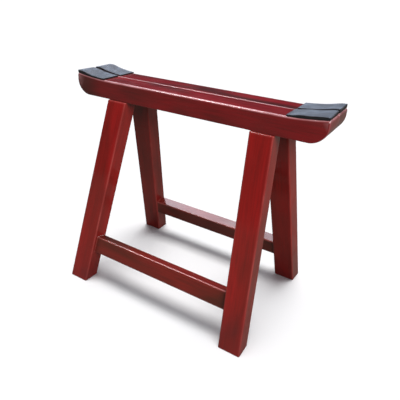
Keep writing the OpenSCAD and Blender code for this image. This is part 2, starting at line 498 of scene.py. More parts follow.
@dataclass(frozen=True)
class Lacquer:
    """Dark red stained timber under a clear gloss lacquer.

    Args:
        name: The material's name.
        body: The stain's main colour.
        deep: Its colour in streaks and pores.
        cloud: Its colour where it lies thick.
        rubbed: The colour that edge rubbing brings: wear, and on the rail a pale painted highlight.
        cloud_share: How much the clouds show.
        wear: How strongly the edge mask lightens the edges: wear, and on the rail a painted highlight.
        bare: The colour of bare timber in nicks.
        dust: The colour of the dust.
        scuffed: The colour that the lacquer darkens to near the floor.
        scuff_height: How high the darkening reaches.
        darkening_share: How much it shows.
        streak_shares: How much of the body colour there is in a streak and between streaks.
        band_share: How much the growth bands even out the streaks.
        pore_share: How dark the pores are.
        pore_depth: How deep they are, as a share of the ripple.
        dust_share: How much the dust shows.
        roughness: How rough the timber is under the lacquer.
        rubbed_roughness: What rubbing adds to it.
        specular: How strongly the timber under the lacquer shines.
        smudged_coat: How much of the lacquer's gloss is left under smudges.
        coat_roughness: How rough the lacquer is.
        coat_ior: How strongly the lacquer bends light.
        skin: How it has been handled.
    """

    name: str
    body: Rgb
    deep: Rgb
    cloud: Rgb
    rubbed: Rgb
    cloud_share: float
    wear: float = 0.55
    bare: Rgb = (0.30, 0.13, 0.07)
    dust: Rgb = (0.42, 0.36, 0.34)
    scuffed: Rgb = (0.085, 0.018, 0.018)
    scuff_height: float = 0.15
    darkening_share: float = 0.7
    streak_shares: tuple[float, float] = (0.1, 0.75)
    band_share: float = 0.45
    pore_share: float = 0.5
    pore_depth: float = 0.15
    dust_share: float = 0.3
    roughness: float = 0.34
    rubbed_roughness: float = 0.08
    specular: float = 0.12
    smudged_coat: float = 0.86
    coat_roughness: float = 0.09
    coat_ior: float = 1.52
    skin: Skin = Skin(
        smudge_size=0.07, dustiness=0.35, ripple_scale=420.0, ripple_share=0.3,
        relief=0.25 * MM, relief_strength=0.35, clean=-0.05,
    )

    def _colour(
        self, tree: Tree, timber: bpy.types.Node, wear: bpy.types.Node, handling: bpy.types.Node
    ) -> bpy.types.NodeSocket:
        """Mixes the stained timber's colour.

        Args:
            tree: The material's tree.
            timber: The node of its grain.
            wear: The node of its edge wear.
            handling: The node of its smudges and dust.

        Returns:
            The colour's socket.
        """
        grained = tree.mix(tree.span(timber.outputs["Streaks"], *self.streak_shares), self.deep, self.body)
        banded = tree.mix(tree.span(timber.outputs["Bands"], 0.0, self.band_share), grained, self.body)
        stained = tree.mix(tree.share(timber.outputs["Clouds"], self.cloud_share), banded, self.cloud)
        pored = tree.mix(tree.share(timber.outputs["Pores"], self.pore_share), stained, self.deep)
        # Edge rubbing lightens the colour: wear, and on the rail a pale painted highlight line.
        rubbed = tree.mix(wear.outputs["Rub"], pored, self.rubbed)
        chipped = tree.mix(wear.outputs["Bare"], rubbed, self.bare)
        # The lacquer darkens in patches towards the floor.
        height = tree.add("SeparateXYZ")
        tree.join(tree.add("TexCoord").outputs["Object"], height.inputs[0])
        low = tree.stretch(height.outputs["Z"], self.scuff_height, 0.0)
        patchy = tree.span(handling.outputs["Smudge"], 0.5 * self.darkening_share, self.darkening_share)
        scuffed = tree.mix(tree.maths("MULTIPLY", low, patchy), chipped, self.scuffed)
        return tree.mix(tree.share(handling.outputs["Dust"], self.dust_share), scuffed, self.dust)

    def build(self, effects: Effects) -> bpy.types.Material:
        """Makes the material.

        Args:
            effects: The shared surface effects.

        Returns:
            The material.
        """
        material, tree, shader = new_material(self.name)
        place = tree.attribute(GRAIN).outputs["Vector"]
        edge = tree.attribute(EDGE).outputs["Fac"]
        timber = tree.place(effects.timber, Grain=place)
        wear = tree.place(effects.edge_wear, Edge=edge, Place=place, Amount=self.wear)
        handling = self.skin.handle(tree, effects, place)
        tree.join(self._colour(tree, timber, wear, handling), shader.inputs["Base Color"])

        smudge = handling.outputs["Smudge"]
        rubbed = tree.share(wear.outputs["Rub"], self.rubbed_roughness)
        rough = tree.maths("ADD", self.skin.roughen(tree, smudge, self.roughness), rubbed)
        tree.join(rough, shader.inputs["Roughness"])
        tree.join(tree.span(smudge, 1.0, self.smudged_coat), shader.inputs["Coat Weight"])
        shader.inputs["Coat Roughness"].default_value = self.coat_roughness
        shader.inputs["Coat IOR"].default_value = self.coat_ior
        shader.inputs["Specular IOR Level"].default_value = self.specular
        sunk = tree.share(timber.outputs["Pores"], self.pore_depth)
        height = tree.maths("SUBTRACT", self.skin.ripple(tree, effects, place), sunk)
        self.skin.bump(tree, shader, height)
        return material


@dataclass(frozen=True)
class Rubber:
    """Black moulded sheet rubber, its studs tinted bluish grey: partly dry bloom, partly a painted sheen of
    the sky.

    Args:
        name: The material's name.
        black: The rubber's own colour.
        bloom_and_sheen: The colour on the studs, dry bloom with a painted bluish sky sheen.
        dust: The colour of the dust.
        least_bloom: How much of that colour is left where hands wiped it.
        wear: How much rubbing the studs get.
        dust_share: How much the dust shows.
        roughness: How rough the rubber is.
        rubbed_polish: What rubbing takes off that.
        specular: How strongly the rubber shines.
        skin: How it has been handled.
    """

    name: str = "Black studded rubber"
    black: Rgb = (0.012, 0.013, 0.016)
    bloom_and_sheen: Rgb = (0.330, 0.430, 0.560)
    dust: Rgb = (0.22, 0.22, 0.22)
    least_bloom: float = 0.55
    wear: float = 0.9
    dust_share: float = 0.35
    roughness: float = 0.46
    rubbed_polish: float = 0.06
    specular: float = 0.6
    skin: Skin = Skin(
        smudge_size=0.02, dustiness=0.8, ripple_scale=1500.0, ripple_share=0.8,
        relief=0.12 * MM, relief_strength=0.5, clean=-0.04,
    )

    def build(self, effects: Effects) -> bpy.types.Material:
        """Makes the material.

        Args:
            effects: The shared surface effects.

        Returns:
            The material.
        """
        material, tree, shader = new_material(self.name)
        place = tree.attribute(GRAIN).outputs["Vector"]
        studs = tree.attribute(EDGE).outputs["Fac"]
        handling = self.skin.handle(tree, effects, place)
        wear = tree.place(effects.edge_wear, Edge=studs, Place=place, Amount=self.wear)
        smudge = handling.outputs["Smudge"]

        # The studs' tops carry the bluish colour, dry bloom and painted sky sheen, thinned where hands wiped
        # them.
        mottled = tree.maths("MULTIPLY", studs, tree.span(smudge, self.least_bloom, 1.0))
        bloom_and_sheen_mixed = tree.mix(mottled, self.black, self.bloom_and_sheen)
        dusted = tree.mix(tree.share(handling.outputs["Dust"], self.dust_share), bloom_and_sheen_mixed, self.dust)
        tree.join(dusted, shader.inputs["Base Color"])
        polish = tree.share(wear.outputs["Rub"], self.rubbed_polish)
        rough = tree.maths("SUBTRACT", self.skin.roughen(tree, smudge, self.roughness), polish)
        tree.join(rough, shader.inputs["Roughness"])
        shader.inputs["Specular IOR Level"].default_value = self.specular
        self.skin.bump(tree, shader, self.skin.ripple(tree, effects, place))
        return material


@dataclass(frozen=True)
class Zinc:
    """Zinc-plated steel strip and screws, drawn in one direction and slightly dulled.

    Args:
        name: The material's name.
        plate: The clean plating's colour.
        dull: The dulled plating's colour.
        draw: How much faster the drawing lines change along each axis.
        roughness: How rough the plating is.
        dull_shares: How dull a clean place and a smudged place are.
        line_share: How much the drawing lines show.
        dust_share: How much the dust shows.
        dusty_metal: How metallic the plating is under dust.
        ripple_height: How high the ripple is beside the drawing lines.
        skin: How it has been handled.
    """

    name: str
    plate: Rgb
    dull: Rgb
    draw: Rgb
    roughness: float
    dull_shares: tuple[float, float] = (0.1, 0.8)
    line_share: float = 0.35
    dust_share: float = 0.4
    dusty_metal: float = 0.7
    ripple_height: float = 0.4
    skin: Skin = Skin(
        smudge_size=0.012, dustiness=0.6, ripple_scale=1800.0, ripple_share=0.9,
        relief=0.03 * MM, relief_strength=0.4, clean=-0.06,
    )

    def build(self, effects: Effects) -> bpy.types.Material:
        """Makes the material.

        Args:
            effects: The shared surface effects.

        Returns:
            The material.
        """
        material, tree, shader = new_material(self.name)
        place = tree.add("TexCoord").outputs["Object"]
        handling = self.skin.handle(tree, effects, place)
        drawn = tree.pattern(Pattern(scale=60.0, detail=3.0, levels=(0.35, 0.65), squeeze=self.draw), place)

        dulled = tree.mix(tree.span(handling.outputs["Smudge"], *self.dull_shares), self.plate, self.dull)
        lined = tree.mix(tree.share(drawn, self.line_share), dulled, self.dull)
        dusted = tree.mix(tree.share(handling.outputs["Dust"], self.dust_share), lined, self.dull)
        tree.join(dusted, shader.inputs["Base Color"])
        tree.join(self.skin.roughen(tree, drawn, self.roughness), shader.inputs["Roughness"])
        tree.join(tree.span(handling.outputs["Dust"], 1.0, self.dusty_metal), shader.inputs["Metallic"])
        ripple = tree.share(self.skin.ripple(tree, effects, place), self.ripple_height)
        self.skin.bump(tree, shader, tree.maths("ADD", drawn, ripple))
        return material


# ---- Mesh building --------------------------------------------------------------------------


def smoothstep(value: float) -> float:
    """Eases a value from 0 to 1, held at both ends."""
    held = min(max(value, 0.0), 1.0)
    return held * held * (3 - 2 * held)


def bend_wear(share: float) -> float:
    """How exposed a rounded edge is at a share of the way round it, most in the middle: to wear, and on the
    rail's groove to a painted highlight.
    """
    return 0.3 + 0.7 * math.sin(math.pi * share)


def quarter_round(radius: float, steps: int) -> list[tuple[float, float]]:
    """How a quarter-round edge steps from one face to the next.

    Args:
        radius: The edge's radius.
        steps: How many faces it has.

    Returns:
        Pairs of depths, below the face that it ends on and below the face that it starts on.
    """
    turns = [math.radians(90 * n / steps) for n in range(steps + 1)]
    return [(radius * (1 - math.sin(turn)), radius * (1 - math.cos(turn))) for turn in turns]


@dataclass(frozen=True)
class Rim:
    """One point on the rim of a cross section, with the way out of the section there.

    Args:
        a: Its first coordinate in the section.
        b: Its second one.
        out_a: The way out, along the first.
        out_b: The way out, along the second.
        edge: How exposed to rubbing it is, from 0 to 1; on the rail this places a painted highlight too.
    """

    a: float
    b: float
    out_a: float
    out_b: float
    edge: float

    def moved(self, out: float) -> tuple[float, float]:
        """The point's place after a move out of the section, or into it where out is negative."""
        return self.a + out * self.out_a, self.b + out * self.out_b


def rounded_section(
    width: float, depth: float, radius: float, steps: int = 6, shoulder: float = 2.5 * MM
) -> list[Rim]:
    """The rim of a rectangle with rounded corners, centred on zero.

    Args:
        width: Size along a.
        depth: Size along b.
        radius: Radius of the corners.
        steps: Faces round each corner.
        shoulder: How far the corner's wear reaches over the flats.

    Returns:
        The rim's points in order.
    """
    rims: list[Rim] = []
    for quarter, (sa, sb) in enumerate(((1, 1), (-1, 1), (-1, -1), (1, -1))):
        centre_a, centre_b = sa * (width / 2 - radius), sb * (depth / 2 - radius)
        for n in range(-1, steps + 2):
            turn = math.radians(90 * (quarter + min(max(n, 0), steps) / steps))
            out_a, out_b = math.cos(turn), math.sin(turn)
            slide = shoulder if n in (-1, steps + 1) else 0.0
            along = -slide if n == -1 else slide
            edge = 0.0 if slide else bend_wear(n / steps)
            rims.append(Rim(centre_a + radius * out_a - along * out_b,
                            centre_b + radius * out_b + along * out_a, out_a, out_b, edge))
    return rims


@dataclass
class Shape:
    """The points and faces of one piece, drawn for the front right quarter of the stand.

    Args:
        side: The side that the piece belongs to.
        end: The end that it belongs to.
        seed: Where this piece starts in the grain pattern.
    """

    side: Side
    end: End = End.RIGHT
    seed: float = 0.0
    points: list[Vector] = field(default_factory=list)
    grain: list[Vector] = field(default_factory=list)
    edges: list[float] = field(default_factory=list)
    faces: list[Ring] = field(default_factory=list)

    def add(self, point: Vector, grain: tuple[float, float, float], edge: float = 0.0) -> int:
        """Adds a point.

        Args:
            point: Its place in the front right quarter.
            grain: Its place in the timber: along, across and through.
            edge: How exposed to rubbing it is, from 0 to 1; on the rail this places a painted highlight too,
                on the pads a painted sheen.

        Returns:
            The point's number.
        """
        self.points.append(Vector((point.x * self.end.value, point.y * self.side.value, point.z)))
        self.grain.append(Vector(grain) + Vector([share * self.seed for share in GRAIN_SHIFT]))
        self.edges.append(edge)
        return len(self.points) - 1

    def strip(self, first: Ring, second: Ring, closed: bool = True) -> None:
        """Joins two rows of points with faces.

        Args:
            first: One row's point numbers.
            second: The other row's, as many.
            closed: Whether the rows are rings.
        """
        count = len(first)
        for n in range(count if closed else count - 1):
            m = (n + 1) % count
            self.faces.append([first[n], first[m], second[m], second[n]])

    def skin(self, rings: Sequence[Ring]) -> None:
        """Joins rings in order and closes the first and the last with a face.

        Args:
            rings: The rings, from one end of the piece to the other.
        """
        for first, second in zip(rings, rings[1:]):
            self.strip(first, second)
        self.faces += [rings[0], rings[-1]]

    def piece(self, name: str, material: bpy.types.Material, slot: Slot, *nodes: str) -> bpy.types.Object:
        """Turns the shape into a finished piece of the stand.

        Args:
            name: The piece's name.
            material: Its finish.
            slot: The record's slot for the finish; not used.
            nodes: The frame's nodes that it stands for.

        Returns:
            The new object.
        """
        mesh = bpy.data.meshes.new(name)
        mesh.from_pydata(self.points, [], self.faces)
        for label, kind, key, values in (
            (GRAIN, "FLOAT_VECTOR", "vector", [value for g in self.grain for value in g]),
            (EDGE, "FLOAT", "value", self.edges),
        ):
            mesh.attributes.new(label, kind, "POINT").data.foreach_set(key, values)
        outward = bmesh.new()
        outward.from_mesh(mesh)
        bmesh.ops.recalc_face_normals(outward, faces=outward.faces)
        outward.to_mesh(mesh)
        outward.free()
        mesh.shade_smooth()
        mesh.materials.append(material)
        made = bpy.data.objects.new(name, mesh)
        bpy.context.scene.collection.objects.link(made)
        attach(made, self.side.body)
        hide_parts(*nodes)
        log.info("%s: %d points, on %s", name, len(self.points), self.side.body)
        return made


def even_normals(piece: bpy.types.Object) -> None:
    """Keeps flats flat and edges soft on a smooth-shaded piece.

    Args:
        piece: The piece.
    """
    weights = piece.modifiers.new("Flat faces", "WEIGHTED_NORMAL")
    weights.weight = FLAT_WEIGHT
    weights.keep_sharp = True


# ---- The top rail ---------------------------------------------------------------------------


@dataclass
class TopRail:
    """The split top rail: two mirror-image timbers, face to face over the hinge line.

    Args:
        finish: Its lacquer.
        rail_height: Height of its straight part.
        sweep_length: How far in from its end the top starts to rise.
        nose_radius: Radius of the turn from its underside up to its end.
        outer_round: Radius of the outer face's top edge.
        under_round: Radius of the outer face's lower edge.
        inner_round: Radius of the edges between the two halves.
        tip_round: Radius where the top meets the end.
        inner_flat: Distance from the inner face to the first plain section, in radii of its edge.
        outer_flat: The same from the outer face.
        mitre_limit: The least cosine between a corner's way out and its faces', which limits how
            far the corner moves.
        sweep_steps: Faces along the rise.
        nose_steps: Faces round the end.
        round_steps: Faces round each edge.
        station: About how far apart its points lie along the straight part.
    """

    finish: bpy.types.Material
    rail_height: float = 47 * MM
    sweep_length: float = 113 * MM
    nose_radius: float = 40 * MM
    outer_round: float = 5.0 * MM
    under_round: float = 2.0 * MM
    inner_round: float = 1.6 * MM
    tip_round: float = 5.6 * MM
    inner_flat: float = 3.0
    outer_flat: float = 2.0
    mitre_limit: float = 0.5
    sweep_steps: int = 18
    nose_steps: int = 14
    round_steps: int = 6
    station: float = 40 * MM

    def __post_init__(self) -> None:
        """Takes the rail's overall sizes from the frame."""
        low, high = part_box("front_rail")
        self.half_length = high.x
        self.underside = low.z
        self.tip_z = high.z
        self.inner_y = -high.y
        self.outer_y = -low.y
        self.top_z = self.underside + self.rail_height
        rise = self.tip_z - self.top_z
        self.sweep_radius = (self.sweep_length**2 + rise**2) / (2 * rise)
        self.sweep_start = self.half_length - self.sweep_length

    def top_at(self, x: float) -> float:
        """The height of the rail's top at a distance from the middle."""
        past = max(abs(x) - self.sweep_start, 0.0)
        return self.top_z + self.sweep_radius - math.sqrt(self.sweep_radius**2 - past**2)

    def _half_outline(self) -> list[Vector]:
        """The right half of the side view, from the middle of the underside round to the top.

        Returns:
            Points with x along the rail and y up.
        """
        centre = Vector((self.half_length - self.nose_radius, self.underside + self.nose_radius))
        flats = int(centre.x / self.station)
        line = [Vector((n * centre.x / flats, self.underside)) for n in range(flats)]
        for n in range(self.nose_steps + 1):
            turn = math.radians(90 * n / self.nose_steps)
            line.append(centre + self.nose_radius * Vector((math.sin(turn), -math.cos(turn))))
        slope = math.asin(self.sweep_length / self.sweep_radius)
        fall = self.tip_round * (math.tan(slope) + 1 / math.cos(slope))
        centre = Vector((self.half_length - self.tip_round, self.tip_z - fall))
        for n in range(self.round_steps + 1):
            turn = (math.radians(90) + slope) * n / self.round_steps
            line.append(centre + self.tip_round * Vector((math.cos(turn), math.sin(turn))))
        inward = line[-1].x
        for n in range(1, self.sweep_steps + 1):
            x = inward - n * (inward - self.sweep_start) / self.sweep_steps
            line.append(Vector((x, self.top_at(x))))
        tops = int(self.sweep_start / self.station)
        line += [Vector((self.sweep_start * (1 - n / tops), self.top_z)) for n in range(1, tops + 1)]
        return line

    def _rims(self) -> list[Rim]:
        """The whole side view as a rim, with the way out at each point.

        Returns:
            The rim's points, from the middle of the underside and round.
        """
        half = self._half_outline()
        mirrored = [Vector((-p.x, p.y)) for p in reversed(half[1:-1])]
        line = half + mirrored
        rims = []
        for n, point in enumerate(line):
            before = (point - line[n - 1]).normalized()
            after = (line[(n + 1) % len(line)] - point).normalized()
            along = before + after
            out = Vector((along.y, -along.x)).normalized()
            mitre = 1 / max(out.dot(Vector((before.y, -before.x))), self.mitre_limit)
            # An outline corner gets the most of the edge mask, a painted highlight on the end's top edge,
            # where it faces outwards and up alike.
            corner = max(2 * abs(out.x) * out.y, 0.0) ** 2
            rims.append(Rim(point.x, point.y, out.x * mitre, out.y * mitre, corner))
        return rims

    def _round_share(self, rim: Rim) -> float:
        """How much of the outer rounding an outline point gets: all on top, less underneath."""
        under = self.under_round / self.outer_round
        return under + (1 - under) * smoothstep(0.5 + rim.out_b)

    def _ring(self, shape: Shape, rims: Sequence[Rim], y: float, depth: float, wear: float) -> Ring:
        """Adds a ring of points at one distance from the middle of the stand.

        Args:
            shape: The half of the rail.
            rims: Its outline.
            y: The distance.
            depth: How far the ring lies below the outline, where the rounding is full.
            wear: How much of the edge mask it gets there, from 0 to 1: painted highlight and wear.

        Returns:
            The points' numbers.
        """
        ring = []
        for rim in rims:
            share = self._round_share(rim)
            x, z = rim.moved(-depth * share)
            ring.append(shape.add(Vector((x, y, z)), (x, y, z), max(wear * share, rim.edge)))
        return ring

    def build(self, side: Side, seed: float) -> bpy.types.Object:
        """Makes one half of the rail.

        Args:
            side: Which half.
            seed: Where its timber starts in the grain pattern.

        Returns:
            The piece.
        """
        shape = Shape(side, seed=seed)
        rims = self._rims()
        inner = quarter_round(self.inner_round, self.round_steps)
        outer = quarter_round(self.outer_round, self.round_steps)
        # The groove's inner edges get a painted highlight line, with some wear, along their rounding.
        cuts = [
            (self.inner_y + inset, depth, bend_wear(n / self.round_steps))
            for n, (inset, depth) in enumerate(reversed(inner))
        ]
        cuts.append((self.inner_y + self.inner_flat * self.inner_round, 0.0, 0.0))
        cuts.append((self.outer_y - self.outer_flat * self.outer_round, 0.0, 0.0))
        # The outer edge gets a narrow line of painted highlight, with some wear, along the middle of its
        # rounding.
        cuts += [
            (self.outer_y - inset, depth, math.sin(math.pi * n / self.round_steps) ** 2)
            for n, (inset, depth) in enumerate(outer)
        ]
        shape.skin([self._ring(shape, rims, *place) for place in cuts])
        made = shape.piece(f"{side.word}_top_rail", self.finish, Slot.RAIL_LACQUER, f"{side.word}_rail")
        even_normals(made)
        return made


# ---- The leg frames -------------------------------------------------------------------------


@dataclass
class LegFrame:
    """One leaning frame: two splayed legs and the stretcher between them.

    Args:
        side: Which frame it is.
        leg_finish: The legs' lacquer.
        stretcher_finish: The stretcher's lacquer, a darker copy of the legs' that paints shade on it.
        underside: Height of the rail's underside.
        rail_outer_y: Distance from the middle of the stand to the rail's outer face.
        half_length: Half the rail's length.
        lean: How far the frame leans out from upright.
        splay: How far each leg leans out along the rail.
        leg_width: A leg's size along the rail.
        leg_thickness: A leg's size through the frame.
        leg_inset: Distance from the rail's end to a leg's outside, under the rail.
        leg_proud: How far the legs stand out past the rail's outer face.
        edge_round: Radius of the timbers' long edges.
        foot_round: Radius of the edges of the legs' end cuts.
        stretcher_height: The stretcher's size up the slope.
        stretcher_setback: How far it lies in from the legs' outer faces.
        stretcher_inner_setback: How far it lies in from their inner faces.
        stretcher_lift: Distance up the slope from the floor to its underside.
        lacquer_fillet: Radius of the lacquer's fillets where it meets the legs.
        seat_depth: How far its ends reach into the legs.
        clear: Distance from a timber's end to its first plain section, in radii of its end's rounding.
        foot_wear: How exposed the feet are, from 0 to 1.
        top_wear: How exposed the legs' tops are.
        shoulder_wear: How exposed the stretcher's ends are.
        stations: Lengths that each timber is divided into.
        fillet_steps: Faces round each fillet and end edge.
    """

    side: Side
    leg_finish: bpy.types.Material
    stretcher_finish: bpy.types.Material
    underside: float
    rail_outer_y: float
    half_length: float
    lean: float = math.radians(15.5)
    splay: float = math.radians(5)
    leg_width: float = 58 * MM
    leg_thickness: float = 46 * MM
    leg_inset: float = 110 * MM
    leg_proud: float = 4.5 * MM
    edge_round: float = 3.2 * MM
    foot_round: float = 1.4 * MM
    stretcher_height: float = 48 * MM
    stretcher_setback: float = 10 * MM
    stretcher_inner_setback: float = 4 * MM
    stretcher_lift: float = 94 * MM
    lacquer_fillet: float = 1.1 * MM
    seat_depth: float = 0.3 * MM
    clear: float = 3.0
    foot_wear: float = 0.8
    top_wear: float = 0.6
    shoulder_wear: float = 0.4
    stations: int = 12
    fillet_steps: int = 4

    def __post_init__(self) -> None:
        """Works out the places that the frame's sizes give."""
        self.half_across = self.leg_width / 2 / math.cos(self.splay)
        self.leg_top_x = self.half_length - self.leg_inset - self.half_across
        self.slope_length = self.underside / math.cos(self.lean)
        self.stretcher_thickness = self.leg_thickness - self.stretcher_setback - self.stretcher_inner_setback
        self.stretcher_up = self.stretcher_lift - self.slope_length + self.stretcher_height / 2
        self.stretcher_in = self.stretcher_setback + self.stretcher_thickness / 2

    def _in_frame(self, x: float, inward: float, up: float) -> Vector:
        """Carries a point of the leaning plane into the front right quarter.

        Args:
            x: Distance along the rail from the middle.
            inward: Distance in from the legs' outer faces.
            up: Distance up the slope from the rail's underside.

        Returns:
            The point, with y counted out from the middle of the stand.
        """
        y = self.rail_outer_y + self.leg_proud - inward * math.cos(self.lean) - up * math.sin(self.lean)
        return Vector((x, y, self.underside - inward * math.sin(self.lean) + up * math.cos(self.lean)))

    def _leg_point(self, across: float, through: float, level: float) -> tuple[Vector, float]:
        """A point on a line along the leg, where that line meets a level.

        Args:
            across: Distance from the leg's axis, along its width.
            through: Distance from the leg's axis, through its thickness.
            level: Height above the floor.

        Returns:
            The point, and its distance along the leg.
        """
        inward = self.leg_thickness / 2 + through
        up = (level - self.underside + inward * math.sin(self.lean)) / math.cos(self.lean)
        along = (up - across * math.sin(self.splay)) / math.cos(self.splay)
        x = self.leg_top_x + across * math.cos(self.splay) - along * math.sin(self.splay)
        return self._in_frame(x, inward, up), along

    def leg_inside_x(self, up: float) -> float:
        """Distance from the middle to the inside of a leg, at a height up the slope."""
        return self.leg_top_x - up * math.tan(self.splay) - self.half_across

    def _leg_ring(
        self, shape: Shape, rims: Sequence[Rim], level: float, inset: float, wear: float
    ) -> Ring:
        """Adds a ring of points round a leg at one level.

        Args:
            shape: The leg.
            rims: Its cross section.
            level: Height above the floor.
            inset: How far the ring lies below the leg's faces.
            wear: How exposed it is, from 0 to 1.

        Returns:
            The points' numbers.
        """
        ring = []
        for rim in rims:
            across, through = rim.moved(-inset)
            point, along = self._leg_point(across, through, level)
            ring.append(shape.add(point, (along, across, through), max(rim.edge, wear)))
        return ring

    def build_leg(self, end: End, seed: float) -> bpy.types.Object:
        """Makes one leg, cut level at the floor and under the rail.

        Args:
            end: Which leg.
            seed: Where its timber starts in the grain pattern.

        Returns:
            The piece.
        """
        shape = Shape(self.side, end, seed)
        rims = rounded_section(self.leg_width, self.leg_thickness, self.edge_round)
        foot = quarter_round(self.foot_round, self.fillet_steps)
        low = self.clear * self.foot_round
        run = self.underside - 2 * low
        cuts = [(level, inset, self.foot_wear) for inset, level in foot]
        cuts += [(low + n / self.stations * run, 0.0, 0.0) for n in range(self.stations + 1)]
        cuts += [(self.underside - level, inset, self.top_wear) for inset, level in reversed(foot)]
        shape.skin([self._leg_ring(shape, rims, *place) for place in cuts])
        name = f"{self.side.word}_{end.word}_leg"
        made = shape.piece(f"{name}_timber", self.leg_finish, Slot.LEG_LACQUER, name)
        even_normals(made)
        return made

    def _stretcher_ring(
        self, shape: Shape, rims: Sequence[Rim], share: float, gap: float, flare: float, wear: float
    ) -> Ring:
        """Adds a ring of points round the stretcher.

        Args:
            shape: The stretcher.
            rims: Its cross section.
            share: Where the ring lies, from -1 at the left leg to 1 at the right one.
            gap: How far it falls short of the leg.
            flare: How far it stands out from the stretcher's faces.
            wear: How exposed it is, from 0 to 1.

        Returns:
            The points' numbers.
        """
        ring = []
        for rim in rims:
            inward, up = rim.moved(flare)
            x = share * (self.leg_inside_x(self.stretcher_up + up) - gap)
            point = self._in_frame(x, self.stretcher_in + inward, self.stretcher_up + up)
            ring.append(shape.add(point, (x, inward, up), max(rim.edge, wear)))
        return ring

    def build_stretcher(self, seed: float) -> bpy.types.Object:
        """Makes the stretcher, with the lacquer's small fillets where it meets the legs.

        Args:
            seed: Where its timber starts in the grain pattern.

        Returns:
            The piece.
        """
        shape = Shape(self.side, seed=seed)
        rims = rounded_section(self.stretcher_thickness, self.stretcher_height, self.edge_round)
        fillet = quarter_round(self.lacquer_fillet, self.fillet_steps)
        clear = self.clear * self.lacquer_fillet
        shoulder = [*fillet, (-self.seat_depth, self.lacquer_fillet)]
        cuts = [(-1.0, gap, flare, self.shoulder_wear) for gap, flare in reversed(shoulder)]
        cuts += [(2 * n / self.stations - 1, clear, 0.0, 0.0) for n in range(self.stations + 1)]
        cuts += [(1.0, gap, flare, self.shoulder_wear) for gap, flare in shoulder]
        shape.skin([self._stretcher_ring(shape, rims, *place) for place in cuts])
        name = f"{self.side.word}_stretcher"
        made = shape.piece(f"{name}_timber", self.stretcher_finish, Slot.LEG_LACQUER, name)
        even_normals(made)
        return made


# ---- The rubber pads ------------------------------------------------------------------------


@dataclass(frozen=True)
class PadLie:
    """How one pad lies: rubber sheet never sits quite flat, and each pad waves in its own way.

    Args:
        near_curl: How far its outer corner near the middle of the stand lifts.
        far_curl: How far its other outer corner lifts.
        hump: Height of the hump across it, or depth of a hollow where negative.
        hump_at: Distance from its inner end to the hump.
        inner_lift: How far its inner end lifts.
    """

    near_curl: float
    far_curl: float
    hump: float
    hump_at: float
    inner_lift: float = 0.0


PAD_LIES = {
    (Side.FRONT, End.LEFT): PadLie(
        near_curl=0.8 * MM, far_curl=1.6 * MM, hump=-0.9 * MM, hump_at=44 * MM, inner_lift=0.8 * MM
    ),
    (Side.REAR, End.LEFT): PadLie(near_curl=0.4 * MM, far_curl=0.6 * MM, hump=1.9 * MM, hump_at=72 * MM),
    (Side.FRONT, End.RIGHT): PadLie(near_curl=2.0 * MM, far_curl=-0.4 * MM, hump=1.5 * MM, hump_at=30 * MM),
    (Side.REAR, End.RIGHT): PadLie(near_curl=2.4 * MM, far_curl=2.8 * MM, hump=0.3 * MM, hump_at=20 * MM),
}


